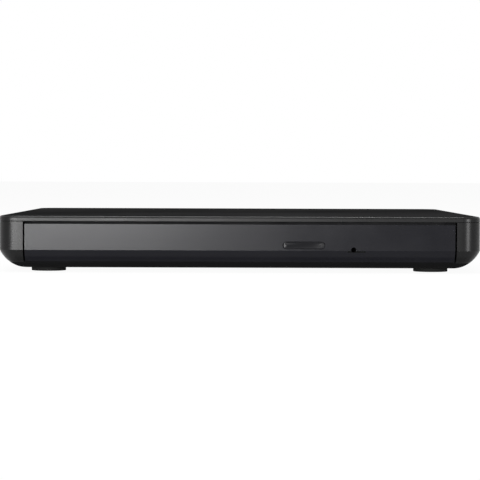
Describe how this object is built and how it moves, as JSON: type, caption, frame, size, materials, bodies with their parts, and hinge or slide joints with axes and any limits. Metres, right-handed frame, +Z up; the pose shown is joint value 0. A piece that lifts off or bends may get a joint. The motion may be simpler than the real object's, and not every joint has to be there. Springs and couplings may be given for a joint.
{
  "type": "external dvd drive",
  "caption": "Flat black external disc drive with a front tray that slides out on telescopic rails, an eject button, a release hole and round rubber feet.",
  "frame": {"origin": "middle of the footprint at the level the feet stand on", "axes": "+Z up, -Y out of the front with the tray, +X to the right seen from the front"},
  "size_m": [0.144, 0.14, 0.0168],
  "materials": {
    "case_plastic": "satin, fine texture",
    "front_panel": "gloss",
    "button_plastic": "satin gloss",
    "foot_rubber": "matte",
    "screw_steel": "zinc plated",
    "chassis_steel": "galvanised",
    "bright_steel": "polished",
    "tray_plastic": "fine matte",
    "guide_plastic": "satin",
    "hub_plastic": "satin",
    "board_green": "solder resist",
    "chip_black": "moulded",
    "connector_plastic": "satin",
    "cable_film": "satin film",
    "cast_frame": "die cast",
    "pickup_metal": "die cast",
    "motor_steel": "satin",
    "stator_copper": "enamelled windings",
    "lens_glass": "coated"
  },
  "bodies": {
    "enclosure": {"bottom_case": "case_plastic", "top_cover": "case_plastic", "rubber_feet": "foot_rubber", "case_screws": "screw_steel", "bridge_board": "board_green", "bridge_board_chips": "chip_black", "board_screws": "screw_steel", "usb_socket": "bright_steel", "usb_tongue": "connector_plastic", "link_plug": "connector_plastic", "link_socket": "connector_plastic", "chassis_pan": "chassis_steel", "chassis_cover": "chassis_steel", "rail_guide_right": "guide_plastic", "rail_guide_left": "guide_plastic", "rear_board": "board_green", "rear_flex_connector": "connector_plastic", "latch_post": "chassis_steel", "ejector_housing": "guide_plastic", "ejector_spring": "bright_steel", "flex_cable": "cable_film"},
    "rail_right": {"slide_rail_right": "chassis_steel"},
    "rail_left": {"slide_rail_left": "chassis_steel"},
    "plunger": {"ejector_plunger": "guide_plastic"},
    "tray_unit": {"tray": "tray_plastic", "tray_bezel": "front_panel", "eject_switch": "hub_plastic", "deck_plate": "chassis_steel", "traverse_frame": "cast_frame", "guide_rod_main": "bright_steel", "guide_rod_sub": "bright_steel", "traverse_dampers": "foot_rubber", "traverse_screws": "screw_steel", "spindle_base": "chassis_steel", "spindle_stator": "stator_copper", "sled_motor": "motor_steel", "lead_screw_bracket": "cast_frame", "tray_board": "board_green", "tray_board_chips": "chip_black", "tray_flex_connector": "connector_plastic", "bottom_shield": "chassis_steel", "tray_screws": "screw_steel", "latch_bracket": "chassis_steel", "latch_solenoid": "motor_steel", "latch_spring": "bright_steel"},
    "spindle": {"spindle_rotor": "bright_steel", "spindle_shaft": "bright_steel", "turntable": "hub_plastic", "friction_ring": "foot_rubber"},
    "claw_1": {"hub_claw_1": "hub_plastic"},
    "claw_2": {"hub_claw_2": "hub_plastic"},
    "claw_3": {"hub_claw_3": "hub_plastic"},
    "pickup": {"pickup_sled": "pickup_metal"},
    "lens": {"lens_carrier": "hub_plastic", "pickup_lens": "lens_glass"},
    "lead_screw_unit": {"lead_screw": "bright_steel"},
    "button": {"eject_button": "button_plastic"},
    "latch": {"latch_hook": "guide_plastic"}
  },
  "joints": [
    {"name": "tray_slide", "type": "slide", "parent": "enclosure", "child": "tray_unit", "axis": [0, -1, 0], "range_m": [0, 0.128], "deforming": ["flex_cable"]},
    {"name": "rail_right_slide", "type": "slide", "parent": "enclosure", "child": "rail_right", "axis": [0, -1, 0], "range_m": [0, 0.064]},
    {"name": "rail_left_slide", "type": "slide", "parent": "enclosure", "child": "rail_left", "axis": [0, -1, 0], "range_m": [0, 0.064]},
    {"name": "plunger_slide", "type": "slide", "parent": "enclosure", "child": "plunger", "axis": [0, -1, 0], "range_m": [0, 0.006], "deforming": ["ejector_spring"]},
    {"name": "spindle_spin", "type": "hinge", "parent": "tray_unit", "child": "spindle", "pos_m": [0, -0.004, 0.01], "axis": [0, 0, 1], "continuous": true},
    {"name": "claw_1_slide", "type": "slide", "parent": "spindle", "child": "claw_1", "axis": [0, -1, 0], "range_m": [0, 0.0006], "stiffness_N_per_m": 150},
    {"name": "claw_2_slide", "type": "slide", "parent": "spindle", "child": "claw_2", "axis": [0.866, 0.5, 0], "range_m": [0, 0.0006], "stiffness_N_per_m": 150},
    {"name": "claw_3_slide", "type": "slide", "parent": "spindle", "child": "claw_3", "axis": [-0.866, 0.5, 0], "range_m": [0, 0.0006], "stiffness_N_per_m": 150},
    {"name": "pickup_slide", "type": "slide", "parent": "tray_unit", "child": "pickup", "axis": [-0.7071, -0.7071, 0], "range_m": [0, 0.035]},
    {"name": "lead_screw_spin", "type": "hinge", "parent": "tray_unit", "child": "lead_screw_unit", "pos_m": [0.01478, -0.01878, 0.0069], "axis": [-0.7071, -0.7071, 0], "range_deg": [-2, 4202]},
    {"name": "lens_focus", "type": "slide", "parent": "pickup", "child": "lens", "axis": [0, 0, 1], "range_m": [-0.0004, 0.0004], "stiffness_N_per_m": 80},
    {"name": "eject_button_press", "type": "slide", "parent": "tray_unit", "child": "button", "axis": [0, 1, 0], "range_m": [0, 0.0005], "stiffness_N_per_m": 400},
    {"name": "latch_release", "type": "hinge", "parent": "tray_unit", "child": "latch", "pos_m": [0.049, -0.0605, 0.006], "axis": [0, 0, -1], "range_deg": [0, 20], "stiffness_Nm_per_rad": 0.002}
  ],
  "couplings": [
    {"joint": "rail_right_slide", "follows": "tray_slide", "ratio": 0.5},
    {"joint": "rail_left_slide", "follows": "tray_slide", "ratio": 0.5},
    {"joint": "plunger_slide", "follows": "tray_slide", "ratio": 0.046875},
    {"joint": "lead_screw_spin", "follows": "pickup_slide", "rad_per_m": 2094.4}
  ]
}
